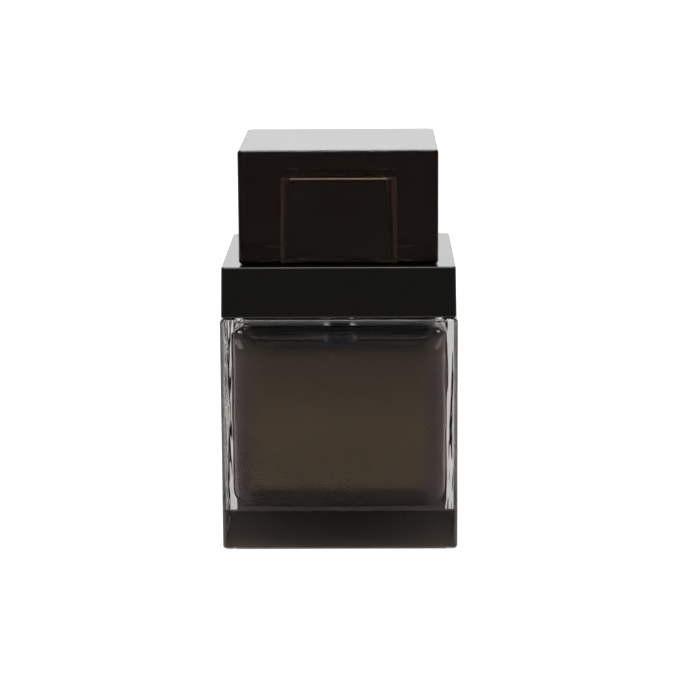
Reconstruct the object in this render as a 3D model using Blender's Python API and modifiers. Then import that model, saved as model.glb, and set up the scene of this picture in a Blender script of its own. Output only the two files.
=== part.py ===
"""A square spray bottle of aftershave, built the way the real one comes apart on a bench.

A thick glass bottle holds the liquid. A fine-mist pump is crimped on its neck, a square
collar hides the crimp, and a heavy translucent block is the cap. The design values are in
millimetres and the model is in metres. +Z is up, the spray leaves towards -Y, and the
origin is the middle of the underside.
"""
import math

import bmesh
import bpy
from mathutils import Matrix, Vector

MM = 0.001
GAP = 0.3                   # between pieces that touch or are cut by one another
FINE = 48                   # steps round a large turned piece
COARSE = 32                 # steps round a small turned piece

# Glass
GLASS_W = 58.0
GLASS_D = 56.0
GLASS_H = 57.8              # up to the ledge that carries the collar
GLASS_EDGE = 1.1
WALL = 2.65
FLOOR = 10.0
CAVITY_TOP = 55.6
CAVITY_CORNER = 5.0
CAVITY_EDGE = 4.4
LIQUID_TOP = 49.0
SHOULDER_INSET = 2.5        # the step inside the collar
SHOULDER_TOP = 60.0
NECK_TOP = 66.5
NECK_R = 6.5
BEAD_R = 7.5
BEAD_H = 2.9
BORE_R = 4.4

# Square collar round the pump
COLLAR_INSET = 0.32         # each side, where it meets the glass
COLLAR_DRAFT = 0.22         # each side, from the bottom to the top
COLLAR_Z = GLASS_H + GAP
COLLAR_TOP = 70.6
COLLAR_WALL = 1.6
COLLAR_EDGE = 0.4
COLLAR_CORNER = 0.9
BOSS_R = 13.3
BOSS_WALL = 1.2
BOSS_Z = 62.0
RETAINER_Z = 61.4           # the clip ring between the boss and the pump's ring
RETAINER_TOP = 65.6
RETAINER_SLOT = 1.6
RETAINER_SLOTS = 3          # each runs right across, so that six clips are left

# Pump, from the glass rim upwards
GASKET_Z = NECK_TOP + GAP
GASKET_H = 0.8
FLANGE_R = 7.4
FLANGE_Z = GASKET_Z + GASKET_H + GAP
FLANGE_H = 0.8
TURRET_Z = FLANGE_Z + FLANGE_H + GAP
TURRET_H = 1.0
TURRET_BOSS_R = 3.5
TURRET_BOSS_TOP = 71.3
FERRULE_R = 8.2
FERRULE_WALL = 0.4
FERRULE_Z = 62.2
FERRULE_TOP = TURRET_Z + TURRET_H + GAP + FERRULE_WALL
RING_R = 8.9
RING_WALL = 0.4
RING_Z = 61.4
RING_TOP = 76.0
RING_HOLE_R = 7.0

# Pump chamber, stem and valves
BARREL_R = 3.9
BARREL_BORE_R = 3.1
BARREL_Z = 50.2
SPRING_SEAT_Z = 52.0
TAIL_R = 2.1
TAIL_BORE_R = 1.25
TAIL_TOP = 48.0
TAIL_Z = 41.5
BALL_R = 1.15
BALL_SEAT_APEX_Z = 48.2     # where the 45 degree seat would come to a point
BALL_GAP = 0.1
STEM_R = 1.55
STEM_HOLE_R = STEM_R + GAP
STEM_BORE_R = 0.6
STEM_TOP = 79.0
STEM_Z = 60.6
STEM_HEAD_R = 2.7
STEM_HEAD_H = 0.6
SHOULDER_RING_Z = 68.0
SHOULDER_RING_R = 2.4
PORT_Z = 64.0
PORT_R = 0.35
PISTON_Z = STEM_Z + STEM_HEAD_H + GAP
PISTON_TOP = 65.5
PISTON_R = BARREL_BORE_R - GAP
PISTON_WAIST_R = 2.5
TUBE_R = 0.9
TUBE_BORE_R = 0.55
TUBE_END = Vector((9.3, 0.0, 11.7))
TUBE_END_TILT = math.radians(25.0)
TUBE_END_WAY = Vector((math.sin(TUBE_END_TILT), 0.0, -math.cos(TUBE_END_TILT)))
TUBE_CUT_SLANT = math.radians(50.0)

# Actuator
ACTUATOR_TOP = 84.7
SHROUD_R = 6.5
SHROUD_WALL = 0.4
SHROUD_Z = 75.6
SHROUD_TOP = 83.9
BUTTON_R = SHROUD_R - SHROUD_WALL - GAP
SOCKET_R = 3.0
SOCKET_Z = 76.2
NOZZLE_Z = 80.9
NOZZLE_R = 1.7
NOZZLE_POCKET_R = NOZZLE_R + GAP
NOZZLE_BACK_Y = -3.5
NOZZLE_LENGTH = 2.9
CHANNEL_R = 0.5

# Cap
CAP_W = 48.6
CAP_D = 48.6
CAP_Z = COLLAR_TOP + GAP
CAP_TOP = 98.6
CAP_CORNER = 0.9
CAP_EDGE = 0.7
CAP_HOLLOW = 28.6
CAP_HOLLOW_TOP = 91.0
CAP_HOLLOW_CORNER = 2.4
CORE_WALL = 1.0
CORE_TUBE_R = 10.6
SLEEVE_R = CORE_TUBE_R - GAP
SLEEVE_WALL = 0.6
SLEEVE_Z = 71.4
SLEEVE_TOP = 79.0
SLEEVE_RIBS = 8


def new_collection(name):
    collection = bpy.data.collections.new(name)
    bpy.context.scene.collection.children.link(collection)
    return collection


def new_material(name, colour, roughness, metallic=0.0, transmission=0.0, ior=1.5):
    material = bpy.data.materials.new(name)
    material.use_nodes = True
    shader = material.node_tree.nodes["Principled BSDF"]
    shader.inputs["Base Color"].default_value = (*colour, 1.0)
    shader.inputs["Roughness"].default_value = roughness
    shader.inputs["Metallic"].default_value = metallic
    shader.inputs["Transmission Weight"].default_value = transmission
    shader.inputs["IOR"].default_value = ior
    return material


def new_object(name, mesh, base_z=0.0):
    """A part whose points are in millimetres above the table, with its origin on the pump's axis."""
    mesh.transform(Matrix.Diagonal((MM, MM, MM, 1.0)) @ Matrix.Translation((0.0, 0.0, -base_z)))
    mesh.set_sharp_from_angle(angle=math.radians(30.0))
    obj = bpy.data.objects.new(name, mesh)
    obj.location.z = base_z * MM
    parts.objects.link(obj)
    return obj


def to_cutter(obj):
    parts.objects.unlink(obj)
    cutters.objects.link(obj)
    obj.hide_render = True
    obj.display_type = "WIRE"
    return obj


def combine(obj, operation, *others):
    for other in others:
        boolean = obj.modifiers.new(other.name, "BOOLEAN")
        boolean.operation = operation
        boolean.solver = "EXACT"
        boolean.object = to_cutter(other)
    return obj


def cut(obj, *others):
    return combine(obj, "DIFFERENCE", *others)


def join(obj, *others):
    return combine(obj, "UNION", *others)


def level_loop(bm, height):
    """The edges that lie at one height."""
    return [e for e in bm.edges if all(abs(v.co.z - height) < 0.001 for v in e.verts)]


def block(name, width, depth, low, high, corner=0.0, edge=0.0, draft=0.0, round_low=True, segments=3):
    """An upright block: corner rounds its vertical edges, edge its top and, with round_low, its foot.

    Draft is how far each side leans in from the foot to the top.
    """
    bm = bmesh.new()
    bmesh.ops.create_cube(bm, size=1.0)
    for vert in bm.verts:
        lean = 2.0 * draft if vert.co.z > 0.0 else 0.0
        vert.co = (vert.co.x * (width - lean), vert.co.y * (depth - lean), low if vert.co.z < 0.0 else high)
    if corner:
        upright = [e for e in bm.edges if abs(e.verts[0].co.z - e.verts[1].co.z) > 0.001]
        bmesh.ops.bevel(bm, geom=upright, offset=corner, segments=segments, profile=0.5, affect="EDGES")
    if edge:
        loops = level_loop(bm, high) + (level_loop(bm, low) if round_low else [])
        bmesh.ops.bevel(bm, geom=loops, offset=edge, segments=segments, profile=0.5, affect="EDGES")
    mesh = bpy.data.meshes.new(name)
    bm.to_mesh(mesh)
    bm.free()
    return new_object(name, mesh, low)


def turned(name, profile, steps=COARSE):
    """Turn a profile of (radius, height), which runs down its outer side.

    A profile whose ends are both on the axis stays open, and any other is closed into a ring.
    """
    solid = profile[0][0] == 0.0 and profile[-1][0] == 0.0
    base_z = min(height for radius, height in profile)
    mesh = bpy.data.meshes.new(name)
    edges = [(i, i + 1) for i in range(len(profile) - 1)]
    if not solid:
        edges.append((len(profile) - 1, 0))
    mesh.from_pydata([(radius, 0.0, height) for radius, height in profile], edges, [])
    obj = new_object(name, mesh, base_z)
    screw = obj.modifiers.new("Turn", "SCREW")
    screw.steps = steps
    screw.render_steps = steps
    screw.use_merge_vertices = True
    screw.merge_threshold = 0.00001
    screw.use_smooth_shade = True
    return obj


def ring(name, inner, outer, low, high, steps=COARSE):
    return turned(name, [(outer, high), (outer, low), (inner, low), (inner, high)], steps)


def peg(name, radius, low, high, steps=COARSE):
    return turned(name, [(0.0, high), (radius, high), (radius, low), (0.0, low)], steps)


def lay_forward(obj, start_y, height):
    """Turn an upright piece so that its top points to the front, with its foot at start_y."""
    obj.rotation_euler = (math.radians(90.0), 0.0, 0.0)
    obj.location = (0.0, start_y * MM, height * MM)
    return obj


def swept(name, points, radius, sides_resolution=2):
    """A round wire through points given in millimetres, as a closed mesh."""
    curve = bpy.data.curves.new(name, "CURVE")
    curve.dimensions = "3D"
    curve.bevel_depth = radius * MM
    curve.bevel_resolution = sides_resolution
    curve.use_fill_caps = True
    spline = curve.splines.new("POLY")
    spline.points.add(len(points) - 1)
    for spline_point, point in zip(spline.points, points):
        spline_point.co = (*(Vector(point) * MM), 1.0)
    guide = bpy.data.objects.new(name + "_curve", curve)
    parts.objects.link(guide)
    bpy.context.view_layer.update()
    mesh = bpy.data.meshes.new_from_object(guide.evaluated_get(bpy.context.evaluated_depsgraph_get()))
    bpy.data.objects.remove(guide)
    bpy.data.curves.remove(curve)
    bm = bmesh.new()
    bm.from_mesh(mesh)
    bmesh.ops.remove_doubles(bm, verts=bm.verts, dist=0.000001)
    bmesh.ops.recalc_face_normals(bm, faces=bm.faces)
    bm.to_mesh(mesh)
    bm.free()
    mesh.shade_smooth()
    obj = bpy.data.objects.new(name, mesh)
    parts.objects.link(obj)
    return obj


def coil(name, radius, wire, low, high, turns, points_a_turn=14):
    """A spring whose first and last turns lie almost flat, between two heights."""
    count = int(turns * points_a_turn)
    low_centre = low + wire
    rise = high - low - 2.0 * wire
    points = []
    for i in range(count + 1):
        share = i / count
        angle = 2.0 * math.pi * turns * share
        height = low_centre + rise * (share - math.sin(2.0 * math.pi * share) / (2.0 * math.pi))
        points.append((radius * math.cos(angle), radius * math.sin(angle), height))
    return swept(name, points, wire)


def tube_path(past_end=0.0, past_start=0.0, steps=12):
    """Straight out of the pump's tail, then one bend to the bottom of the bottle."""
    start = Vector((0.0, 0.0, TAIL_TOP - 1.1))
    bend_start = Vector((0.0, 0.0, TAIL_Z - 0.7))
    handles = (bend_start, bend_start - Vector((0.0, 0.0, 10.0)), TUBE_END - 14.0 * TUBE_END_WAY, TUBE_END)
    points = [start + Vector((0.0, 0.0, past_start))]
    for i in range(steps + 1):
        t = i / steps
        weights = ((1 - t) ** 3, 3 * t * (1 - t) ** 2, 3 * t * t * (1 - t), t ** 3)
        points.append(sum((w * handle for w, handle in zip(weights, handles)), Vector()))
    points[-1] += past_end * TUBE_END_WAY
    return points


def make_glass_bottle():
    glass = block("glass_bottle", GLASS_W, GLASS_D, 0.0, GLASS_H, GLASS_EDGE, GLASS_EDGE * 0.8)
    shoulder = block("glass_shoulder", GLASS_W - 2 * SHOULDER_INSET, GLASS_D - 2 * SHOULDER_INSET,
                     GLASS_H - 2.0, SHOULDER_TOP, 2.0, 0.8)
    bead_z = NECK_TOP - BEAD_H
    neck = turned("glass_neck", [
        (0.0, NECK_TOP), (BEAD_R - 0.5, NECK_TOP), (BEAD_R, NECK_TOP - 0.5), (BEAD_R, bead_z),
        (NECK_R, bead_z - 1.0), (NECK_R, SHOULDER_TOP - 1.0), (0.0, SHOULDER_TOP - 1.0)], FINE)
    hollow = block("glass_hollow", GLASS_W - 2 * WALL, GLASS_D - 2 * WALL, FLOOR, CAVITY_TOP,
                   CAVITY_CORNER, CAVITY_EDGE, segments=4)
    bore = peg("glass_bore", BORE_R, CAVITY_TOP - 2.0, NECK_TOP + 1.0)
    return cut(join(glass, shoulder, neck), hollow, bore)


def make_liquid():
    width = GLASS_W - 2 * WALL - 2 * GAP
    depth = GLASS_D - 2 * WALL - 2 * GAP
    spare = 3.0
    liquid = block("aftershave_liquid", width, depth, FLOOR + GAP, CAVITY_TOP, CAVITY_CORNER - GAP,
                   CAVITY_EDGE - GAP, segments=4)
    air = block("liquid_air", GLASS_W, GLASS_D, LIQUID_TOP, CAVITY_TOP + spare)
    pump = turned("liquid_pump_room", [
        (0.0, LIQUID_TOP + spare), (BARREL_R + GAP, LIQUID_TOP + spare), (BARREL_R + GAP, BARREL_Z - GAP),
        (TAIL_R + GAP, TAIL_TOP - GAP), (TAIL_R + GAP, TAIL_Z - GAP), (0.0, TAIL_Z - GAP)])
    tube = swept("liquid_tube_room", tube_path(past_end=GAP), TUBE_R + GAP)
    return cut(liquid, air, pump, tube)


def make_collar_cover():
    width = GLASS_W - 2 * COLLAR_INSET
    depth = GLASS_D - 2 * COLLAR_INSET
    roof = COLLAR_TOP - COLLAR_WALL
    cover = block("collar_cover", width, depth, COLLAR_Z, COLLAR_TOP, COLLAR_CORNER, COLLAR_EDGE,
                  COLLAR_DRAFT)
    hollow = block("collar_hollow", width - 2 * COLLAR_WALL, depth - 2 * COLLAR_WALL, COLLAR_Z - 1.0, roof,
                   1.0)
    boss = ring("collar_boss", BOSS_R, BOSS_R + BOSS_WALL, BOSS_Z, roof + 0.5, FINE)
    hole = peg("collar_hole", RING_R + GAP, roof - 1.0, COLLAR_TOP + 1.0, FINE)
    return cut(join(cut(cover, hollow), boss), hole)


def make_retainer_ring():
    retainer = ring("collar_retainer_ring", RING_R + GAP, BOSS_R - GAP, RETAINER_Z, RETAINER_TOP, FINE)
    for i in range(RETAINER_SLOTS):
        gap_between_clips = block(
            f"retainer_slot_{i}", 4 * BOSS_R, RETAINER_SLOT, RETAINER_Z - 1.0, RETAINER_TOP - 1.4)
        gap_between_clips.rotation_euler.z = i * math.pi / RETAINER_SLOTS
        cut(retainer, gap_between_clips)
    return retainer


def make_gasket():
    return ring("neck_gasket", BORE_R, FLANGE_R, GASKET_Z, GASKET_Z + GASKET_H)


def make_pump_ring():
    inner = RING_R - RING_WALL
    lip_z = RING_TOP - 0.5
    return turned("pump_collar_ring", [
        (RING_R - 0.3, RING_TOP), (RING_R, RING_TOP - 0.3), (RING_R, RING_Z), (inner, RING_Z),
        (inner, lip_z), (RING_HOLE_R, lip_z), (RING_HOLE_R, RING_TOP)], FINE)


def make_ferrule():
    inner = FERRULE_R - FERRULE_WALL
    hole = TURRET_BOSS_R + 0.4
    plate_z = FERRULE_TOP - FERRULE_WALL
    return turned("pump_ferrule", [
        (inner, FERRULE_TOP), (FERRULE_R, FERRULE_TOP - 0.3), (FERRULE_R, FERRULE_Z + 0.4),
        (inner, FERRULE_Z), (NECK_R + 0.6, FERRULE_Z), (NECK_R + 0.6, FERRULE_Z + 0.5),
        (inner, FERRULE_Z + 0.7), (inner, plate_z), (hole, plate_z), (hole, FERRULE_TOP)], FINE)


def make_turret():
    return turned("pump_turret", [
        (TURRET_BOSS_R - 0.3, TURRET_BOSS_TOP), (TURRET_BOSS_R, TURRET_BOSS_TOP - 0.3),
        (TURRET_BOSS_R, TURRET_Z + TURRET_H), (FLANGE_R, TURRET_Z + TURRET_H), (FLANGE_R, TURRET_Z),
        (STEM_HOLE_R, TURRET_Z), (STEM_HOLE_R, TURRET_BOSS_TOP)])


def make_housing():
    seat_low_r = 0.7
    seat_high_r = 1.7
    return turned("pump_housing", [
        (FLANGE_R, FLANGE_Z + FLANGE_H), (FLANGE_R, FLANGE_Z), (BARREL_R, FLANGE_Z), (BARREL_R, BARREL_Z),
        (TAIL_R, TAIL_TOP), (TAIL_R, TAIL_Z), (TAIL_BORE_R, TAIL_Z), (TAIL_BORE_R, TAIL_TOP - 0.7),
        (seat_low_r, TAIL_TOP - 0.2), (seat_low_r, BALL_SEAT_APEX_Z + seat_low_r),
        (seat_high_r, BALL_SEAT_APEX_Z + seat_high_r), (seat_high_r, SPRING_SEAT_Z),
        (BARREL_BORE_R, SPRING_SEAT_Z), (BARREL_BORE_R, FLANGE_Z + FLANGE_H)])


def make_ball():
    """A ball that lies in its 45 degree seat."""
    height = BALL_SEAT_APEX_Z + (BALL_R + BALL_GAP) * math.sqrt(2.0)
    bm = bmesh.new()
    bmesh.ops.create_uvsphere(bm, u_segments=20, v_segments=12, radius=BALL_R)
    bmesh.ops.translate(bm, verts=bm.verts, vec=(0.0, 0.0, height))
    mesh = bpy.data.meshes.new("inlet_ball")
    bm.to_mesh(mesh)
    bm.free()
    mesh.shade_smooth()
    return new_object("inlet_ball", mesh, height)


def make_dip_tube():
    """An open tube whose lower end is cut at a slant, so that the floor can't close it."""
    tube = swept("dip_tube", tube_path(), TUBE_R)
    bore = swept("dip_tube_bore", tube_path(past_end=1.0, past_start=1.0), TUBE_BORE_R)
    slant = block("dip_tube_slant", 8.0, 8.0, 0.0, 8.0)
    slant.rotation_euler.y = math.pi - TUBE_END_TILT + TUBE_CUT_SLANT
    slant.location = (TUBE_END - 1.3 * TUBE_END_WAY) * MM
    return cut(tube, bore, slant)


def make_stem():
    head_top = STEM_Z + STEM_HEAD_H
    stem = turned("pump_stem", [
        (0.0, PORT_Z - 0.6), (STEM_BORE_R, PORT_Z - 0.6), (STEM_BORE_R, STEM_TOP), (STEM_R - 0.25, STEM_TOP),
        (STEM_R, STEM_TOP - 0.4), (STEM_R, SHOULDER_RING_Z + 0.7), (SHOULDER_RING_R, SHOULDER_RING_Z + 0.7),
        (SHOULDER_RING_R, SHOULDER_RING_Z), (STEM_R, SHOULDER_RING_Z), (STEM_R, head_top),
        (STEM_HEAD_R, head_top), (STEM_HEAD_R, STEM_Z), (0.0, STEM_Z)])
    port = peg("stem_port", PORT_R, 0.0, 4 * STEM_R, 16)
    return cut(stem, lay_forward(port, 2 * STEM_R, PORT_Z))


def make_piston():
    return turned("piston", [
        (PISTON_R, PISTON_TOP), (PISTON_WAIST_R, PISTON_TOP - 0.9), (PISTON_WAIST_R, PISTON_Z + 0.9),
        (PISTON_R, PISTON_Z), (STEM_HOLE_R, PISTON_Z), (STEM_HOLE_R, PISTON_TOP)])


def make_return_spring():
    return coil("return_spring", 2.4, 0.28, SPRING_SEAT_Z + GAP, STEM_Z - GAP, 5.5)


def make_valve_spring():
    return coil("precompression_spring", 2.1, 0.2, PISTON_TOP + GAP, SHOULDER_RING_Z - GAP, 3)


def make_actuator_button():
    top_of_socket = STEM_TOP + GAP
    hollow_top = 78.4
    skirt = 4.6
    button = turned("actuator_button", [
        (0.0, ACTUATOR_TOP - 0.45), (2.5, ACTUATOR_TOP - 0.35), (4.9, ACTUATOR_TOP),
        (5.4, ACTUATOR_TOP - 0.05), (BUTTON_R, ACTUATOR_TOP - 0.5), (BUTTON_R, SOCKET_Z - GAP),
        (skirt, SOCKET_Z - GAP), (skirt, hollow_top), (SOCKET_R, hollow_top), (SOCKET_R, SOCKET_Z),
        (STEM_HOLE_R, SOCKET_Z), (STEM_HOLE_R, top_of_socket),
        (CHANNEL_R, top_of_socket), (CHANNEL_R, NOZZLE_Z), (0.0, NOZZLE_Z)])
    pocket_y = NOZZLE_BACK_Y + GAP
    pocket = lay_forward(peg("nozzle_pocket", NOZZLE_POCKET_R, 0.0, 6.0), pocket_y, NOZZLE_Z)
    channel = lay_forward(peg("nozzle_channel", CHANNEL_R, 0.0, 5.0, 16), 0.8, NOZZLE_Z)
    return cut(button, pocket, channel)


def make_actuator_shroud():
    inner = SHROUD_R - SHROUD_WALL
    shroud = turned("actuator_shroud", [
        (SHROUD_R - 0.15, SHROUD_TOP), (SHROUD_R, SHROUD_TOP - 0.15), (SHROUD_R, SHROUD_Z),
        (inner, SHROUD_Z), (inner, SHROUD_TOP)], FINE)
    window = lay_forward(peg("nozzle_window", NOZZLE_POCKET_R, 0.0, 6.0), NOZZLE_BACK_Y, NOZZLE_Z)
    return cut(shroud, window)


def make_nozzle():
    """The jet: a small disc with a cone round its hole."""
    hole_r = 0.2
    nozzle = turned("nozzle_insert", [
        (NOZZLE_R - 0.2, NOZZLE_LENGTH), (NOZZLE_R, NOZZLE_LENGTH - 0.2), (NOZZLE_R, 0.0), (hole_r, 0.0),
        (hole_r, NOZZLE_LENGTH - 0.4), (0.9, NOZZLE_LENGTH)], 24)
    return lay_forward(nozzle, NOZZLE_BACK_Y, NOZZLE_Z)


def make_cap_block():
    cap = block("cap_outer_block", CAP_W, CAP_D, CAP_Z, CAP_TOP, CAP_CORNER, CAP_EDGE)
    hollow = block("cap_hollow", CAP_HOLLOW, CAP_HOLLOW, CAP_Z - 1.0, CAP_HOLLOW_TOP, CAP_HOLLOW_CORNER, 0.8,
                   round_low=False)
    return cut(cap, hollow)


def make_cap_core():
    """A square liner that fills the hollow, with a tube for the sleeve in its middle."""
    size = CAP_HOLLOW - 2 * GAP
    low = CAP_Z + GAP
    high = CAP_HOLLOW_TOP - GAP
    core = block("cap_core", size, size, low, high, CAP_HOLLOW_CORNER - GAP, 0.5, round_low=False)
    inside = block("core_inside", size - 2 * CORE_WALL, size - 2 * CORE_WALL, low - 1.0, high - CORE_WALL,
                   1.1)
    tube = ring("core_tube", CORE_TUBE_R, CORE_TUBE_R + CORE_WALL, low + GAP, high - 0.5, FINE)
    return join(cut(core, inside), tube)


def make_grip_sleeve():
    """A round sleeve whose upright ribs grip the pump's ring."""
    inner = SLEEVE_R - SLEEVE_WALL
    sleeve = turned("cap_grip_sleeve", [
        (SLEEVE_R, SLEEVE_TOP), (SLEEVE_R, SLEEVE_Z), (inner + 0.3, SLEEVE_Z), (inner, SLEEVE_Z + 0.4),
        (inner, SLEEVE_TOP)], FINE)
    rib_face = RING_R + GAP
    rib_width = 0.9
    for i in range(SLEEVE_RIBS):
        rib = block(f"sleeve_rib_{i}", inner + 0.2 - rib_face, rib_width, SLEEVE_Z + 0.8, SLEEVE_TOP - 0.8)
        angle = 2 * math.pi * i / SLEEVE_RIBS
        middle = (inner + 0.2 + rib_face) / 2 * MM
        rib.rotation_euler.z = angle
        rib.location.x = middle * math.cos(angle)
        rib.location.y = middle * math.sin(angle)
        join(sleeve, rib)
    return sleeve


def on_axis(name, height, pieces, parent=None):
    """Hang pieces on an empty that stands on their joint's axis."""
    axis = bpy.data.objects.new(name, None)
    axis.empty_display_size = 5 * MM
    axis.location.z = height * MM
    parts.objects.link(axis)
    if parent:
        axis.parent = parent
        axis.location.z -= parent.location.z
    for piece in pieces:
        piece.parent = axis
        piece.location.z -= height * MM
    return axis


for old in list(bpy.data.objects):
    bpy.data.objects.remove(old)

parts = new_collection("aftershave_bottle")
cutters = new_collection("cutters")

smoke_glass = new_material("smoke_glass", (0.62, 0.58, 0.55), 0.02, transmission=1.0)
liquid = new_material("brown_liquid", (0.35, 0.25, 0.15), 0.0, transmission=1.0, ior=1.36)
black_gloss = new_material("black_gloss_plastic", (0.006, 0.006, 0.005), 0.08)
black_plastic = new_material("black_plastic", (0.010, 0.009, 0.009), 0.4)
cap_smoke = new_material("cap_smoke_plastic", (0.10, 0.03, 0.02), 0.03, transmission=0.9)
white_plastic = new_material("white_plastic", (0.78, 0.78, 0.75), 0.35)
clear_plastic = new_material("clear_plastic", (0.85, 0.86, 0.85), 0.2, transmission=0.7)
seal_rubber = new_material("seal_rubber", (0.03, 0.03, 0.03), 0.6)
aluminium = new_material("aluminium", (0.80, 0.80, 0.79), 0.25, 1.0)
dark_metal = new_material("dark_metal", (0.10, 0.10, 0.11), 0.22, 1.0)
steel = new_material("steel", (0.56, 0.55, 0.53), 0.25, 1.0)

bottle_pieces = [
    (make_glass_bottle, smoke_glass), (make_liquid, liquid), (make_collar_cover, black_gloss),
    (make_retainer_ring, black_plastic), (make_pump_ring, dark_metal), (make_ferrule, aluminium),
    (make_gasket, seal_rubber), (make_turret, white_plastic), (make_housing, black_plastic),
    (make_dip_tube, clear_plastic), (make_return_spring, steel)]
stem_pieces = [(make_stem, white_plastic), (make_valve_spring, steel)]
piston_pieces = [(make_piston, white_plastic)]
ball_pieces = [(make_ball, steel)]
actuator_pieces = [
    (make_actuator_button, black_plastic), (make_actuator_shroud, dark_metal), (make_nozzle, black_plastic)]
sleeve_pieces = [(make_grip_sleeve, white_plastic)]
cap_pieces = [(make_cap_block, cap_smoke), (make_cap_core, black_plastic)]


def make_pieces(recipes):
    pieces = []
    for make, material in recipes:
        piece = make()
        piece.data.materials.clear()
        piece.data.materials.append(material)
        pieces.append(piece)
    return pieces


make_pieces(bottle_pieces)
stem_axis = on_axis("stem_slide", TURRET_Z, make_pieces(stem_pieces))
on_axis("piston_slide", PISTON_Z, make_pieces(piston_pieces), stem_axis)
on_axis("ball_lift", BALL_SEAT_APEX_Z, make_pieces(ball_pieces))
on_axis("actuator_turn", STEM_TOP, make_pieces(actuator_pieces), stem_axis)
sleeve_axis = on_axis("cap_lift", CAP_Z, make_pieces(sleeve_pieces))
on_axis("cap_turn", CAP_Z, make_pieces(cap_pieces), sleeve_axis)
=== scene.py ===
import math

import bmesh
import bpy
from mathutils import Matrix, Vector, noise as perlin


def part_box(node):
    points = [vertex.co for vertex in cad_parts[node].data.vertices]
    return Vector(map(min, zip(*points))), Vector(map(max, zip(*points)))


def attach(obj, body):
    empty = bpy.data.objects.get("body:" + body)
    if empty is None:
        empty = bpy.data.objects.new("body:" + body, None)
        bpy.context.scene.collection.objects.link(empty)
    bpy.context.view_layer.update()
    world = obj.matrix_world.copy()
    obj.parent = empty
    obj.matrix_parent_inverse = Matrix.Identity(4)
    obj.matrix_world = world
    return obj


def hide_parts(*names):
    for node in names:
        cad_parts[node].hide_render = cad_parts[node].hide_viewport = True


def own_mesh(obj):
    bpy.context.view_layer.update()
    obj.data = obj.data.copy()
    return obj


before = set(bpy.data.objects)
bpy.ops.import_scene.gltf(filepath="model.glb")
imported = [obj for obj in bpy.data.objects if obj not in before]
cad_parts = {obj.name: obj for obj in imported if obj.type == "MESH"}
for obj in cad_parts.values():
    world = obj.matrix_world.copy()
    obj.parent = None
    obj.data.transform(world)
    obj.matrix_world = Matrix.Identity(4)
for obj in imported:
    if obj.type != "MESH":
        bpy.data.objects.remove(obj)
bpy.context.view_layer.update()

MM = 0.001
GAP = 0.3 * MM              # what the CAD pieces keep to one another

WORLD_STRENGTH = 1.5
PANEL_RADIANCE = 7.0
STRIP_RADIANCE = 10.0
FLOOR_GLOW = 0.8

# How much of a bare surface's reflection is left where it is seen square on.
PLAIN = (1.0, 1.0, 1.0)
GLASS_FACING = (0.12, 0.12, 0.12)
LIQUID_FACING = (0.05, 0.05, 0.05)
COLLAR_FACING = (0.1, 0.1, 0.1)
CAP_FACING = (0.19, 0.16, 0.135)
MATT_FACING = (0.15, 0.14, 0.13)
TUBE_FACING = (0.2, 0.2, 0.2)
CAP_POLISH = 0.3            # how far the cap's edges come back to the whole reflection

# Bodies that are seen through: what they let pass, and how fast they take the rest.
GLASS_IOR, GLASS_PASSES, GLASS_DENSITY = 1.5, (0.06, 0.03, 0.0), 17.0
LIQUID_IOR, LIQUID_PASSES, LIQUID_DENSITY = 1.36, (0.4, 0.33, 0.22), 90.0
CAP_IOR, CAP_PASSES, CAP_DENSITY = 1.49, (0.22, 0.07, 0.02), 190.0
TUBE_IOR = 1.10             # plastic's index divided by the liquid's, which surrounds it
PLASTIC_IOR = 1.46
GLASS_TINT = (0.98, 0.98, 0.98)
CAP_TINT = (0.98, 0.95, 0.94)
LIQUID_TRANSMISSION = 0.8   # the rest is cloud in the liquid's tint, with painted shade and painted light over it in zones below

LIQUID_TINT = (0.39, 0.28, 0.17)
# Painted shade: the liquid darker towards its top, under the air above it.
HEAD_PAINTED_SHADE = (0.25, 0.175, 0.11)
# Painted shade: the liquid darker at its foot, round the cavity's rounded floor.
FOOT_PAINTED_SHADE = (0.12, 0.09, 0.08)
# Painted light: greyer colour at the flanks, for light bent in through the side walls.
FLANK_PAINTED_LIGHT = (0.26, 0.20, 0.19)
# Painted shade: near black along the brim, where the liquid climbs the walls.
BRIM_PAINTED_SHADE = (0.06, 0.05, 0.045)
# Painted highlight: the lacquer lighter near the glass's foot, for a bright line along its bottom edge.
SILL_PAINTED_HIGHLIGHT = (0.7, 0.6, 0.58)
# The frosted corners' dark red tint is painted reddish light bent through the cap's corners.
FROST_PAINTED_GLOW = (0.10, 0.03, 0.02)
FROST_ROUGHNESS = 0.5
FROST_TRANSMISSION = 0.45

SKIN_GRAIN = 900.0          # cells a metre in a moulded skin
STREAK_GRAIN = 420.0        # and in the upright streaks of the glass
STREAK_STRETCH = (1.0, 1.0, 0.12)
STREAK_HEIGHT = 0.12 * MM


# ---------------------------------------------------------------- node helpers

def new_material(name):
    material = bpy.data.materials.new(name)
    material.use_nodes = True
    return material, material.node_tree, material.node_tree.nodes["Principled BSDF"]


def add_node(tree, kind, **settings):
    node = tree.nodes.new(kind)
    for key, value in settings.items():
        if key in node.inputs:
            node.inputs[key].default_value = value
        else:
            setattr(node, key, value)
    return node


def noise(tree, scale, detail=4.0, roughness=0.5, stretch=(1.0, 1.0, 1.0)):
    """Noise in the object's own metres: scale is in cells a metre."""
    place = add_node(tree, "ShaderNodeTexCoord")
    mapping = add_node(tree, "ShaderNodeMapping", Scale=stretch)
    texture = add_node(tree, "ShaderNodeTexNoise", Scale=scale, Detail=detail, Roughness=roughness)
    tree.links.new(place.outputs["Object"], mapping.inputs["Vector"])
    tree.links.new(mapping.outputs["Vector"], texture.inputs["Vector"])
    return texture.outputs["Fac"]


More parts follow.
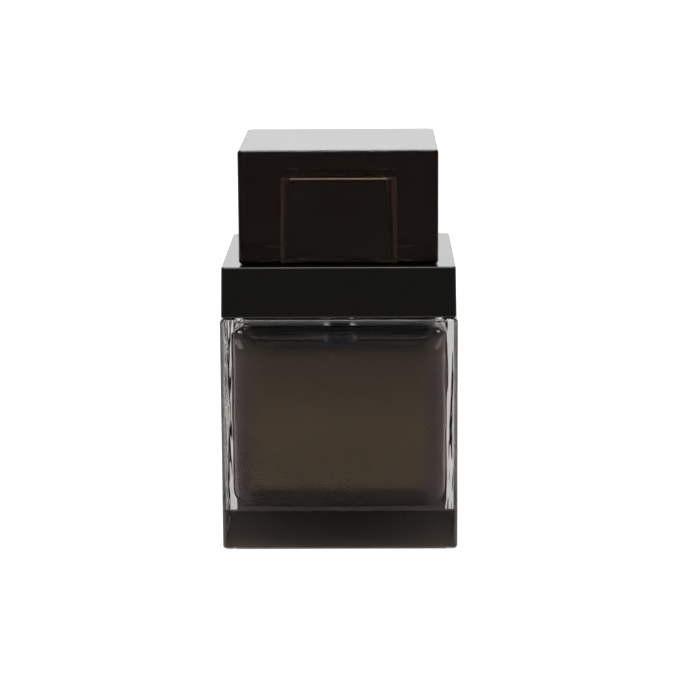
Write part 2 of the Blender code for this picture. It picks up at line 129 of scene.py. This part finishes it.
def mapped(tree, value, low, high, source_low=0.3, source_high=0.7):
    ranged = add_node(tree, "ShaderNodeMapRange")
    tree.links.new(value, ranged.inputs["Value"])
    for key, number in (("From Min", source_low), ("From Max", source_high),
                        ("To Min", low), ("To Max", high)):
        ranged.inputs[key].default_value = number
    return ranged.outputs["Result"]


def two_tone(tree, value, colour_a, colour_b):
    mix = add_node(tree, "ShaderNodeMix", data_type="RGBA")
    tree.links.new(value, mix.inputs[0])
    mix.inputs[6].default_value = (*colour_a, 1.0)
    mix.inputs[7].default_value = (*colour_b, 1.0)
    return mix.outputs[2]


def bump(tree, shader, value, height, strength=1.0):
    node = add_node(tree, "ShaderNodeBump", Distance=height, Strength=strength)
    tree.links.new(value, node.inputs["Height"])
    tree.links.new(node.outputs["Normal"], shader.inputs["Normal"])


def set_facing(tree, shader, facing):
    """Reflect less than a bare surface does where it is seen square on, except along polished edges."""
    shader.inputs["Specular Tint"].default_value = (*facing, 1.0)
    if facing != PLAIN:
        edges = add_node(tree, "ShaderNodeAttribute", attribute_name="edge")
        tree.links.new(two_tone(tree, edges.outputs["Fac"], facing, PLAIN), shader.inputs["Specular Tint"])


def plastic(name, dark, light, rough_low, rough_high, grain_height=0.0, facing=PLAIN):
    """Moulded plastic: faint clouds in its colour and in its gloss, and a fine skin."""
    material, tree, shader = new_material(name)
    clouds = noise(tree, 140.0, 3.0)
    tree.links.new(two_tone(tree, clouds, dark, light), shader.inputs["Base Color"])
    tree.links.new(mapped(tree, noise(tree, SKIN_GRAIN, 5.0), rough_low, rough_high),
                   shader.inputs["Roughness"])
    shader.inputs["IOR"].default_value = PLASTIC_IOR
    set_facing(tree, shader, facing)
    if grain_height:
        bump(tree, shader, noise(tree, SKIN_GRAIN * 3.0, 6.0), grain_height)
    return material


def metal(name, dark, light, rough_low, rough_high, stretch):
    """Drawn or turned metal, whose fine lines run the way that stretch is small."""
    material, tree, shader = new_material(name)
    lines = noise(tree, 2500.0, 4.0, stretch=stretch)
    tree.links.new(two_tone(tree, noise(tree, 260.0, 3.0), dark, light), shader.inputs["Base Color"])
    tree.links.new(mapped(tree, lines, rough_low, rough_high), shader.inputs["Roughness"])
    shader.inputs["Metallic"].default_value = 1.0
    bump(tree, shader, lines, 0.004 * MM, 0.6)
    return material


# ---------------------------------------------------------------- mesh helpers

SIDE_POINTS = 24            # along each side of a block
CORNER_POINTS = 10          # round each of its upright corners


def outline(half_x, half_y, corner, margin=None):
    """Points round an upright block, the same number for every size, so that any two can be joined.

    Margin places the outermost points of each side that far from the side's ends.
    """
    corner = min(corner, half_x, half_y)
    points = []
    for k, (sx, sy) in enumerate(((1, 1), (-1, 1), (-1, -1), (1, -1))):
        centre = Vector((sx * (half_x - corner), sy * (half_y - corner)))
        for i in range(CORNER_POINTS):
            angle = (k + i / (CORNER_POINTS - 1)) * math.pi / 2
            points.append(centre + corner * Vector((math.cos(angle), math.sin(angle))))
        across = 2 * ((half_x if k % 2 == 0 else half_y) - corner)
        way = Vector(((-1, 0), (0, -1), (1, 0), (0, 1))[k])
        start = points[-1]
        first = (margin if margin is not None else across / SIDE_POINTS)
        for i in range(SIDE_POINTS - 1):
            along = first + (across - 2 * first) * i / (SIDE_POINTS - 2)
            points.append(start + way * along)
    return points


def block_loop(height, half_x, half_y, corner, margin=None):
    return [(p.x, p.y, height) for p in outline(half_x, half_y, corner, margin)]


def round_loop(height, radius):
    """A circle with as many points as a block's outline, its corner points closer together."""
    corner_span = math.radians(44.0)
    side_span = math.pi / 2 - corner_span
    points = []
    for k in range(4):
        first = math.pi / 4 + k * math.pi / 2 - corner_span / 2
        for i in range(CORNER_POINTS):
            angle = first + corner_span * i / (CORNER_POINTS - 1)
            points.append((radius * math.cos(angle), radius * math.sin(angle), height))
        for i in range(1, SIDE_POINTS):
            angle = first + corner_span + side_span * i / SIDE_POINTS
            points.append((radius * math.cos(angle), radius * math.sin(angle), height))
    return points


def arc(steps, start=0):
    """Shares of a radius, across and along, from a flat face round into the one beside it."""
    return [(math.sin(math.pi / 2 * i / steps), 1.0 - math.cos(math.pi / 2 * i / steps))
            for i in range(start, steps + 1)]


def levels(low, high, count):
    """Heights strictly between two others."""
    return [low + (high - low) * i / count for i in range(1, count)]


def to_object(name, bm):
    mesh = bpy.data.meshes.new(name)
    bm.to_mesh(mesh)
    bm.free()
    mesh.shade_smooth()
    obj = bpy.data.objects.new(name, mesh)
    bpy.context.scene.collection.objects.link(obj)
    return obj


def lofted(name, loops, closed=False):
    """A skin over loops of equal length: closed into a ring, or fanned shut at its first and last loop."""
    bm = bmesh.new()
    rows = [[bm.verts.new(p) for p in points] for points in loops]
    count = len(rows[0])
    pairs = list(zip(rows, rows[1:])) + ([(rows[-1], rows[0])] if closed else [])
    for low, high in pairs:
        for i in range(count):
            j = (i + 1) % count
            bm.faces.new((low[i], low[j], high[j], high[i]))
    if not closed:
        for row in (rows[0], rows[-1]):
            centre = bm.verts.new(sum((v.co for v in row), Vector()) / count)
            for i in range(count):
                j = (i + 1) % count
                bm.faces.new((row[i], row[j], centre))
    bmesh.ops.recalc_face_normals(bm, faces=bm.faces)
    obj = to_object(name, bm)
    weighted = obj.modifiers.new("Normals", "WEIGHTED_NORMAL")
    weighted.weight = 100
    return obj


def paint(obj, name, value_at):
    """Store a number for every point of a mesh, for its material to read."""
    values = obj.data.attributes.new(name, "FLOAT", "POINT").data
    for vertex in obj.data.vertices:
        values[vertex.index].value = value_at(vertex.co)


def mark_edges(obj, low, high, radius, polish=1.0, upright=False):
    """Mark the points of a block that lie on its rounded edges, where its foot or top meets a side.

    With upright, its upright edges are marked too.
    """
    def on_edge(co):
        side = min(high.x - abs(co.x), high.y - abs(co.y))
        level = min(high.z - co.z, co.z - low.z)
        across = max(high.x - abs(co.x), high.y - abs(co.y))
        return polish * float(max(side, min(level, across) if upright else level) < 0.98 * radius)

    paint(obj, "edge", on_edge)


def ramp(value, start, end):
    """0 at start and 1 at end, eased at both."""
    t = min(max((value - start) / (end - start), 0.0), 1.0)
    return t * t * (3.0 - 2.0 * t)


def put(obj, materials, body, slot_name, *nodes):
    """Give a finished piece its materials and its body, and hide the CAD nodes that it stands for."""
    obj.data.materials.clear()
    for material in materials if isinstance(materials, tuple) else (materials,):
        obj.data.materials.append(material)
    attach(obj, body)
    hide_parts(*nodes)
    return obj


# ---------------------------------------------------------------- sizes, from the frame

glass_low, glass_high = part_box("glass_bottle")
fill_low, fill_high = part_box("aftershave_liquid")
collar_low, collar_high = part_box("collar_cover")
cap_low, cap_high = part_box("cap_outer_block")
core_low, core_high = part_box("cap_core")
ring_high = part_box("pump_collar_ring")[1]

GLASS_X, GLASS_Y = glass_high.x, glass_high.y
COAT = 0.12 * MM            # the dark plate over the back of the glass
NECK_TOP = glass_high.z
LEDGE_Z = collar_low.z - GAP
SHOULDER_Z = NECK_TOP - 6.5 * MM
SHOULDER_INSET = 2.5 * MM
GLASS_EDGE = 1.1 * MM
BOTTOM_EDGE = 0.9 * MM
NECK_R = 6.5 * MM
BEAD_R = 7.5 * MM
BORE_R = 4.4 * MM
CAVITY_X, CAVITY_Y = fill_high.x + GAP, fill_high.y + GAP
CAVITY_FLOOR = fill_low.z - GAP
CAVITY_ROOF = LEDGE_Z - 2.2 * MM
CAVITY_CORNER = 5.0 * MM
CAVITY_EDGE = 4.4 * MM
TIGHT_CORNER = 0.6 * MM     # what a loop's corners shrink to towards the middle of a face
LIQUID_TOP = fill_high.z
LACQUER_MARGIN = 0.35 * MM


# ---------------------------------------------------------------- camera, light, floor

def make_camera():
    data = bpy.data.cameras.new("camera")
    data.sensor_width = 36.0
    data.lens = 130.0
    data.clip_start = 0.01
    camera = bpy.data.objects.new("camera", data)
    bpy.context.scene.collection.objects.link(camera)
    camera.location = (8.64 * MM, -612.4 * MM, 167.5 * MM)
    pitch, yaw, roll = math.radians(11.094), math.radians(-0.83), math.radians(-0.37)
    aim = Matrix.Rotation(-yaw, 3, "Z") @ Matrix.Rotation(math.pi / 2 - pitch, 3, "X")
    camera.rotation_euler = (aim @ Matrix.Rotation(roll, 3, "Z")).to_euler()
    bpy.context.scene.camera = camera


def make_floor():
    half = 6.0
    under = -0.02 * MM          # leaves a film of air under the glass
    bm = bmesh.new()
    corners = ((-half, -half), (half, -half), (half, half), (-half, half))
    bm.faces.new([bm.verts.new((x, y, under)) for x, y in corners])
    floor = to_object("floor", bm)
    material, tree, shader = new_material("pale_floor")
    tree.links.new(two_tone(tree, noise(tree, 8.0, 3.0), (0.24, 0.24, 0.24), (0.26, 0.26, 0.26)),
                   shader.inputs["Base Color"])
    shader.inputs["Roughness"].default_value = 0.9
    shader.inputs["Specular IOR Level"].default_value = 0.0
    shader.inputs["Emission Color"].default_value = (1.0, 1.0, 1.0, 1.0)
    shader.inputs["Emission Strength"].default_value = FLOOR_GLOW
    floor.data.materials.append(material)


def make_panel(name, place, width, height, radiance):
    """A soft panel that faces the bottle."""
    data = bpy.data.lights.new(name, "AREA")
    data.shape = "RECTANGLE"
    data.size, data.size_y = width, height
    data.energy = radiance * math.pi * width * height
    panel = bpy.data.objects.new(name, data)
    bpy.context.scene.collection.objects.link(panel)
    panel.location = place
    panel.rotation_euler = Vector(place).to_track_quat("Z", "Y").to_euler()


def make_light():
    """A bright sweep round the horizon that fades upwards, and a soft panel overhead."""
    world = bpy.data.worlds.new("studio")
    bpy.context.scene.world = world
    world.use_nodes = True
    tree = world.node_tree
    direction = add_node(tree, "ShaderNodeTexCoord")
    parts = add_node(tree, "ShaderNodeSeparateXYZ")
    sweep = add_node(tree, "ShaderNodeValToRGB")
    tree.links.new(direction.outputs["Generated"], parts.inputs["Vector"])
    tree.links.new(parts.outputs["Z"], sweep.inputs["Fac"])
    stops = sweep.color_ramp.elements
    stops[0].position, stops[0].color = 0.07, (0.66, 0.66, 0.66, 1.0)
    stops[1].position, stops[1].color = 0.16, (1.0, 1.0, 1.0, 1.0)
    for position, level in ((0.35, 0.9), (0.65, 0.4)):
        stop = stops.new(position)
        stop.color = (level, level, level, 1.0)
    background = tree.nodes["Background"]
    tree.links.new(sweep.outputs["Color"], background.inputs["Color"])
    background.inputs["Strength"].default_value = WORLD_STRENGTH
    make_panel("overhead_panel", (0.0, 0.1, 1.6), 1.3, 1.6, PANEL_RADIANCE)
    for side in (-1, 1):
        name = "left_strip" if side < 0 else "right_strip"
        make_panel(name, (1.2 * side, -0.05, 0.45), 0.3, 0.8, STRIP_RADIANCE)


make_camera()
make_floor()
make_light()
bpy.context.scene.view_settings.view_transform = "Standard"


# ---------------------------------------------------------------- glass and liquid

def clear(name, tint, ior, facing, rough_low=0.0, rough_high=0.0, absorption=None, density=0.0,
          transmission=1.0):
    """A clear body whose tint can grow with the way through it."""
    material, tree, shader = new_material(name)
    clouds = noise(tree, 90.0, 3.0)
    tree.links.new(two_tone(tree, clouds, tint, tuple(0.97 * c for c in tint)), shader.inputs["Base Color"])
    tree.links.new(mapped(tree, clouds, rough_low, rough_high), shader.inputs["Roughness"])
    shader.inputs["Transmission Weight"].default_value = transmission
    shader.inputs["IOR"].default_value = ior
    set_facing(tree, shader, facing)
    if density:
        volume = add_node(tree, "ShaderNodeVolumeAbsorption")
        volume.inputs["Density"].default_value = density
        volume.inputs["Color"].default_value = (*absorption, 1.0)
        tree.links.new(volume.outputs["Volume"], tree.nodes["Material Output"].inputs["Volume"])
    return material


def uneven(loops):
    """Blown glass is never flat inside: its walls wander by a tenth of a millimetre."""
    depth = 0.18 * MM
    result = []
    for points in loops:
        moved = []
        for x, y, z in points:
            side_x, side_y = abs(x) / CAVITY_X, abs(y) / CAVITY_Y
            along_y = perlin.noise(Vector((y / (11 * MM), z / (14 * MM), 3.0 if x > 0 else 9.0)))
            along_x = perlin.noise(Vector((x / (13 * MM), z / (16 * MM), 21.0 if y > 0 else 33.0)))
            moved.append((x + math.copysign(depth * along_y * side_x ** 8, x),
                          y + math.copysign(depth * along_x * side_y ** 8, y), z))
        result.append(moved)
    return result


def cavity_walls(top, sink=0.0):
    """Loops down the walls from a height, round the edge of the floor and in to its middle."""
    loops = []
    wall_low = CAVITY_FLOOR + CAVITY_EDGE
    for height in levels(top, wall_low, 34):
        loops.append(block_loop(height, CAVITY_X + sink, CAVITY_Y + sink, CAVITY_CORNER + sink))
    for across, along in reversed(arc(10)):
        inset = CAVITY_EDGE * (1.0 - across) - sink
        loops.append(block_loop(CAVITY_FLOOR - sink + CAVITY_EDGE * along, CAVITY_X - inset,
                                CAVITY_Y - inset, max(CAVITY_CORNER - inset, TIGHT_CORNER)))
    for share in (0.9, 0.75, 0.6, 0.4, 0.2, 0.05):
        loops.append(block_loop(CAVITY_FLOOR - sink, (CAVITY_X - CAVITY_EDGE) * share,
                                (CAVITY_Y - CAVITY_EDGE) * share, TIGHT_CORNER))
    return loops


def cavity_roof():
    """Loops from the bore's mouth out under the shoulder and down to the walls."""
    loops = []
    mouth = BORE_R + 0.6 * MM
    round_points = round_loop(CAVITY_ROOF, mouth)
    square_points = block_loop(CAVITY_ROOF, CAVITY_X - CAVITY_EDGE, CAVITY_Y - CAVITY_EDGE, TIGHT_CORNER)
    for share in (0.0, 0.15, 0.3, 0.5, 0.7, 0.85, 1.0):
        loops.append([tuple(Vector(a).lerp(Vector(b), share)) for a, b in zip(round_points, square_points)])
    for across, along in arc(10, start=1):
        inset = CAVITY_EDGE * (1.0 - across)
        loops.append(block_loop(CAVITY_ROOF - CAVITY_EDGE * along, CAVITY_X - inset, CAVITY_Y - inset,
                                max(CAVITY_CORNER - inset, TIGHT_CORNER)))
    return loops


def glass_outside():
    """Loops from the middle of the foot, up the walls, over the shoulder, up the neck and into its bore."""
    def at(height, inset=0.0):
        return [(x, min(y, GLASS_Y - COAT), z) for x, y, z
                in block_loop(height, GLASS_X - inset, GLASS_Y - inset, GLASS_EDGE, LACQUER_MARGIN)]

    loops = [block_loop(0.0, GLASS_X * s, GLASS_Y * s, GLASS_EDGE) for s in (0.05, 0.5)]
    loops += [at(BOTTOM_EDGE * along, BOTTOM_EDGE * (1 - across)) for across, along in arc(7)]
    loops += [at(height) for height in levels(BOTTOM_EDGE, LEDGE_Z - BOTTOM_EDGE, 16)]
    loops += [at(LEDGE_Z - BOTTOM_EDGE * along, BOTTOM_EDGE * (1 - across))
              for across, along in reversed(arc(7))]
    step_x, step_y = GLASS_X - SHOULDER_INSET, GLASS_Y - SHOULDER_INSET
    loops.append(block_loop(LEDGE_Z, step_x + 0.2 * MM, step_y + 0.2 * MM, 2.0 * MM))
    loops.append(block_loop(LEDGE_Z + 0.2 * MM, step_x, step_y, 2.0 * MM))
    rise = 0.8 * MM
    for across, along in reversed(arc(5)):
        inset = rise * (1.0 - across)
        loops.append(block_loop(SHOULDER_Z - rise * along, step_x - inset, step_y - inset, 2.0 * MM))
    bead_z = NECK_TOP - 2.9 * MM
    profile = ((NECK_R + 0.8 * MM, SHOULDER_Z), (NECK_R + 0.2 * MM, SHOULDER_Z + 0.2 * MM),
               (NECK_R, SHOULDER_Z + 0.8 * MM), (NECK_R, bead_z - 1.0 * MM), (BEAD_R, bead_z),
               (BEAD_R, NECK_TOP - 0.5 * MM), (BEAD_R - 0.15 * MM, NECK_TOP - 0.15 * MM),
               (BEAD_R - 0.5 * MM, NECK_TOP), (BORE_R + 0.5 * MM, NECK_TOP), (BORE_R, NECK_TOP - 0.5 * MM),
               (BORE_R, CAVITY_ROOF + 0.8 * MM), (BORE_R + 0.2 * MM, CAVITY_ROOF + 0.2 * MM))
    return loops + [round_loop(height, radius) for radius, height in profile]


def make_glass():
    wall_top = CAVITY_ROOF - CAVITY_EDGE
    glass = lofted("glass_body", glass_outside() + uneven(cavity_roof() + cavity_walls(wall_top)))
    smoke = clear("smoke_glass", GLASS_TINT, GLASS_IOR, GLASS_FACING, absorption=GLASS_PASSES,
                  density=GLASS_DENSITY)
    bump(smoke.node_tree, smoke.node_tree.nodes["Principled BSDF"],
         noise(smoke.node_tree, STREAK_GRAIN, 2.0, stretch=STREAK_STRETCH), STREAK_HEIGHT)
    lacquer = plastic("dark_lacquer", (0.132, 0.103, 0.089), (0.148, 0.116, 0.101), 0.25, 0.35)
    tree, shader = lacquer.node_tree, lacquer.node_tree.nodes["Principled BSDF"]
    shader.inputs["Specular IOR Level"].default_value = 0.0
    # Painted highlight: lighter lacquer near the foot of the glass.
    sill_highlight = add_node(tree, "ShaderNodeAttribute", attribute_name="sill_highlight")
    mix = add_node(tree, "ShaderNodeMix", data_type="RGBA")
    tree.links.new(sill_highlight.outputs["Fac"], mix.inputs[0])
    tree.links.new(shader.inputs["Base Color"].links[0].from_socket, mix.inputs[6])
    mix.inputs[7].default_value = (*SILL_PAINTED_HIGHLIGHT, 1.0)
    tree.links.new(mix.outputs[2], shader.inputs["Base Color"])
    put(glass, (smoke, lacquer), "bottle", "smoke_glass", "glass_bottle")
    # Where the painted highlight lies: strongest just above the underside, fading out by 5 mm up.
    paint(glass, "sill_highlight", lambda co: ramp(co.z, 0.0, 0.3 * MM) * ramp(co.z, 5.0 * MM, BOTTOM_EDGE))
    mark_edges(glass, glass_low, Vector((GLASS_X, GLASS_Y, LEDGE_Z)), BOTTOM_EDGE, upright=True)
    lacquer_x = GLASS_X - GLASS_EDGE - LACQUER_MARGIN
    for face in glass.data.polygons:
        behind = (face.center.y > GLASS_Y - BOTTOM_EDGE and abs(face.center.x) < lacquer_x
                  and face.center.z < LEDGE_Z - 0.01 * MM)
        below = face.center.z < (0.5 * BOTTOM_EDGE if face.center.y > BOTTOM_EDGE - GLASS_Y else 0.01 * MM)
        face.material_index = int(behind or below)


def make_rear_coat():
    """The thin plate of dark gloss that backs the glass."""
    half_x = GLASS_X - GLASS_EDGE - LACQUER_MARGIN
    low, high, edge = 0.2 * MM, LEDGE_Z - 0.2 * MM, 0.02 * MM
    middle = (low + high) / 2
    loops = []
    for depth, inset in ((0.005 * MM, 0.0), (COAT - edge, 0.0), (COAT, edge)):
        outline_points = outline(half_x - inset, (high - low) / 2 - inset, 0.6 * MM - inset)
        loops.append([(p.x, GLASS_Y - COAT + depth, middle + p.y) for p in outline_points])
    coat = lofted("rear_coat", loops)
    gloss = plastic("rear_gloss", (0.020, 0.016, 0.012), (0.026, 0.021, 0.016), 0.03, 0.07,
                    facing=GLASS_FACING)
    return put(coat, gloss, "bottle", "smoke_glass", "glass_bottle")


def make_liquid():
    sink = 0.06 * MM            # into the glass, so that no air lies between the two
    meniscus_wide, meniscus_high, corner_high = 2.6 * MM, 1.8 * MM, 3.6 * MM
    loops = [block_loop(LIQUID_TOP, (CAVITY_X - meniscus_wide) * s, (CAVITY_Y - meniscus_wide) * s,
                        3.0 * MM * s) for s in (0.03, 0.4, 0.7, 0.9, 1.0)]
    for i in range(1, 9):
        t = i / 8
        inset = meniscus_wide * (1 - t) - sink * t
        climbed = []
        for x, y, z in block_loop(LIQUID_TOP, CAVITY_X - inset, CAVITY_Y - inset, CAVITY_CORNER - inset):
            near_corner = ramp(min(CAVITY_X - abs(x) + CAVITY_Y - abs(y), 9.0 * MM), 9.0 * MM, 2.0 * MM)
            climbed.append((x, y, z + (meniscus_high + corner_high * near_corner) * t ** 3))
        loops.append(climbed)
    liquid = lofted("aftershave", uneven(loops + cavity_walls(LIQUID_TOP, sink)))
    # Zones of painted shade (foot, head, brim) and of painted light (flank) for the liquid's colour.
    paint(liquid, "flank", lambda co: ramp(min(abs(co.x), abs(co.y)), 19.5 * MM, 23.5 * MM))
    paint(liquid, "foot", lambda co: ramp(co.z, 15.9 * MM, 14.4 * MM))
    paint(liquid, "head", lambda co: ramp(co.z, 30.0 * MM, 49.0 * MM))
    paint(liquid, "brim", lambda co: ramp(co.z, LIQUID_TOP, LIQUID_TOP + 1.2 * MM))
    brown = clear("brown_liquid", LIQUID_TINT, LIQUID_IOR, LIQUID_FACING, absorption=LIQUID_PASSES,
                  density=LIQUID_DENSITY, transmission=LIQUID_TRANSMISSION)
    tree, shader = brown.node_tree, brown.node_tree.nodes["Principled BSDF"]
    colour = LIQUID_TINT
    # Painted shade and painted light laid zone by zone over the liquid's tint.
    for zone, tint in (("head", HEAD_PAINTED_SHADE), ("foot", FOOT_PAINTED_SHADE), ("flank", FLANK_PAINTED_LIGHT),
                       ("brim", BRIM_PAINTED_SHADE)):
        place = add_node(tree, "ShaderNodeAttribute", attribute_name=zone)
        mix = add_node(tree, "ShaderNodeMix", data_type="RGBA")
        tree.links.new(place.outputs["Fac"], mix.inputs[0])
        mix.inputs[7].default_value = (*tint, 1.0)
        if zone == "head":
            mix.inputs[6].default_value = (*colour, 1.0)
        else:
            tree.links.new(colour, mix.inputs[6])
        colour = mix.outputs[2]
    tree.links.new(colour, shader.inputs["Base Color"])
    return put(liquid, brown, "bottle", "brown_liquid", "aftershave_liquid")


make_glass()
make_rear_coat()
make_liquid()


# ---------------------------------------------------------------- collar and cap

def shell_outside(low, high, corner, edge, lean=0.0):
    """Loops up the outside of a block, from its foot's edge to its top's. Lean steps the top in."""
    def at(height, inset):
        inset += lean * (height - low.z) / (high.z - low.z)
        return block_loop(height, high.x - inset, high.y - inset, corner)

    loops = [at(low.z + edge * along, edge * (1 - across)) for across, along in arc(6)]
    loops += [at(height, 0.0) for height in levels(low.z + edge, high.z - edge, 8)]
    return loops + [at(high.z - edge * along, edge * (1 - across)) for across, along in reversed(arc(6))]


def make_collar():
    wall, edge = 1.6 * MM, 0.4 * MM
    hole = ring_high.x + GAP
    inner_x, inner_y = collar_high.x - wall, collar_high.y - wall
    roof = collar_high.z - wall
    bevel = 0.25 * MM
    loops = shell_outside(collar_low, collar_high, 0.9 * MM, edge, 0.22 * MM)
    loops += [round_loop(collar_high.z, hole + bevel),
              round_loop(collar_high.z - 0.3 * bevel, hole + 0.3 * bevel),
              round_loop(collar_high.z - bevel, hole), round_loop(roof, hole)]
    loops += [block_loop(roof, inner_x - 0.5 * MM, inner_y - 0.5 * MM, 1.0 * MM),
              block_loop(roof - 0.5 * MM, inner_x, inner_y, 1.0 * MM),
              block_loop(collar_low.z + 0.2 * MM, inner_x, inner_y, 1.0 * MM)]
    collar = lofted("collar_shell", loops, closed=True)
    mark_edges(collar, collar_low, collar_high, edge)
    gloss = plastic("black_gloss", (0.0025, 0.0023, 0.0014), (0.0031, 0.0028, 0.0018), 0.03, 0.06,
                    facing=COLLAR_FACING)
    return put(collar, gloss, "bottle", "black_gloss", "collar_cover")


HOLLOW, HOLLOW_TOP = core_high.x + GAP, core_high.z + GAP


def hollow_corner(height):
    """The cap's hollow has corners that grow rounder towards its roof."""
    return (1.2 + 1.5 * (height - cap_low.z) / (HOLLOW_TOP - cap_low.z)) * MM


def hollow_loop(height, inset):
    corner = hollow_corner(height)
    return block_loop(height, HOLLOW - inset, HOLLOW - inset, corner - min(inset, 0.5 * corner))


def hollow_loops(low, top, gap):
    """Loops up the hollow's walls and in over its roof, or, with a gap, up those of a block inside it."""
    edge = 0.8 * MM
    loops = [hollow_loop(height, gap) for height in [low] + levels(low, top - edge, 10)]
    loops += [hollow_loop(top - edge * along, gap + edge * (1 - across))
              for across, along in reversed(arc(6))]
    return loops + [block_loop(top, HOLLOW * s, HOLLOW * s, TIGHT_CORNER) for s in (0.6, 0.05)]


def make_cap():
    edge = 0.7 * MM
    loops = [block_loop(cap_high.z, cap_high.x * s, cap_high.y * s, 0.9 * MM) for s in (0.05, 0.5)]
    loops += reversed(shell_outside(cap_low, cap_high, 0.9 * MM, edge))
    loops += [hollow_loop(cap_low.z, -0.1 * MM)] + hollow_loops(cap_low.z + 0.1 * MM, HOLLOW_TOP, 0.0)
    cap = lofted("cap_block", loops)
    mark_edges(cap, cap_low, cap_high, edge, CAP_POLISH)
    # Frosted corners of the hollow, whose dark red tint is painted reddish light.
    paint(cap, "frost_and_glow", lambda co: float(max(abs(co.x), abs(co.y)) < HOLLOW + 0.01 * MM
                                         and min(abs(co.x), abs(co.y)) > HOLLOW - 0.9 * hollow_corner(co.z)
                                         and co.z < HOLLOW_TOP))
    smoke = clear("cap_smoke", CAP_TINT, CAP_IOR, CAP_FACING, absorption=CAP_PASSES, density=CAP_DENSITY)
    tree, shader = smoke.node_tree, smoke.node_tree.nodes["Principled BSDF"]
    # The mask makes the hollow's corners rougher and cloudier, and paints them dark red.
    frost_and_glow = add_node(tree, "ShaderNodeAttribute", attribute_name="frost_and_glow").outputs["Fac"]
    tree.links.new(mapped(tree, frost_and_glow, 0.0, FROST_ROUGHNESS, 0.0, 1.0), shader.inputs["Roughness"])
    tree.links.new(mapped(tree, frost_and_glow, 1.0, FROST_TRANSMISSION, 0.0, 1.0),
                   shader.inputs["Transmission Weight"])
    tree.links.new(two_tone(tree, frost_and_glow, CAP_TINT, FROST_PAINTED_GLOW), shader.inputs["Base Color"])
    return put(cap, smoke, "cap", "cap_smoke", "cap_outer_block")


def make_cap_core(material):
    """The black liner of the cap's hollow, with the tube for the grip sleeve in its middle."""
    wall, socket = 1.0 * MM, 10.6 * MM
    roof, foot = core_high.z - wall, core_low.z + GAP
    loops = list(reversed(hollow_loops(core_low.z, core_high.z, GAP)))
    loops += [hollow_loop(height, GAP + wall)
              for height in [core_low.z] + levels(core_low.z, roof, 10) + [roof]]
    loops += [round_loop(roof, socket + wall), round_loop(foot, socket + wall), round_loop(foot, socket)]
    loops += [round_loop(roof, socket * s) for s in (1.0, 0.5, 0.05)]
    return put(lofted("core_liner", loops), material, "cap", "black_plastic", "cap_core")


make_collar()
make_cap()


# ---------------------------------------------------------------- CAD pieces that stay, with their finishes

def finish(material, *nodes):
    for node in nodes:
        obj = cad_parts[node]
        obj.data.materials.clear()
        obj.data.materials.append(material)


def make_spring(material, node, body, wire, turns):
    """A coil whose end turns lie almost flat."""
    low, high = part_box(node)
    radius = high.x - wire
    count, sides = int(turns * 30), 14
    loops = []
    for i in range(count + 1):
        share = i / count
        angle = 2 * math.pi * turns * share
        climb = share - math.sin(2 * math.pi * share) / (2 * math.pi)
        out = Vector((math.cos(angle), math.sin(angle), 0.0))
        centre = radius * out + Vector((0.0, 0.0, low.z + wire + (high.z - low.z - 2 * wire) * climb))
        loops.append([centre + wire * (math.cos(a) * out + Vector((0.0, 0.0, math.sin(a))))
                      for a in (2 * math.pi * k / sides for k in range(sides))])
    spring = put(lofted(node + "_wire", loops), material, body, "spring_steel", node)
    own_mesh(spring)


matt_black = plastic("matt_black_plastic", (0.008, 0.008, 0.008), (0.012, 0.011, 0.011), 0.32, 0.5,
                     grain_height=0.003 * MM, facing=MATT_FACING)
white_plastic = plastic("white_plastic", (0.74, 0.74, 0.71), (0.80, 0.80, 0.77), 0.3, 0.42,
                        grain_height=0.006 * MM)
rubber = plastic("seal_rubber", (0.025, 0.025, 0.025), (0.04, 0.04, 0.04), 0.55, 0.7,
                 grain_height=0.02 * MM)
dark_metal = metal("dark_metal", (0.08, 0.08, 0.09), (0.12, 0.12, 0.13), 0.16, 0.3, (0.02, 0.02, 1.0))
aluminium = metal("aluminium", (0.74, 0.74, 0.74), (0.82, 0.82, 0.81), 0.2, 0.34, (0.02, 0.02, 1.0))
steel = metal("spring_steel", (0.5, 0.49, 0.47), (0.58, 0.57, 0.55), 0.2, 0.32, (1.0, 1.0, 0.1))
clear_plastic = clear("clear_plastic", (0.9, 0.9, 0.88), TUBE_IOR, TUBE_FACING, 0.02, 0.06)

make_cap_core(matt_black)
finish(matt_black, "collar_retainer_ring", "pump_housing", "actuator_button", "nozzle_insert")
finish(white_plastic, "pump_turret", "pump_stem", "piston", "cap_grip_sleeve")
finish(rubber, "neck_gasket")
finish(dark_metal, "pump_collar_ring", "actuator_shroud")
finish(aluminium, "pump_ferrule")
finish(steel, "inlet_ball")
make_spring(steel, "return_spring", "bottle", 0.28 * MM, 5.5)
make_spring(steel, "precompression_spring", "stem", 0.2 * MM, 3.0)
finish(clear_plastic, "dip_tube")
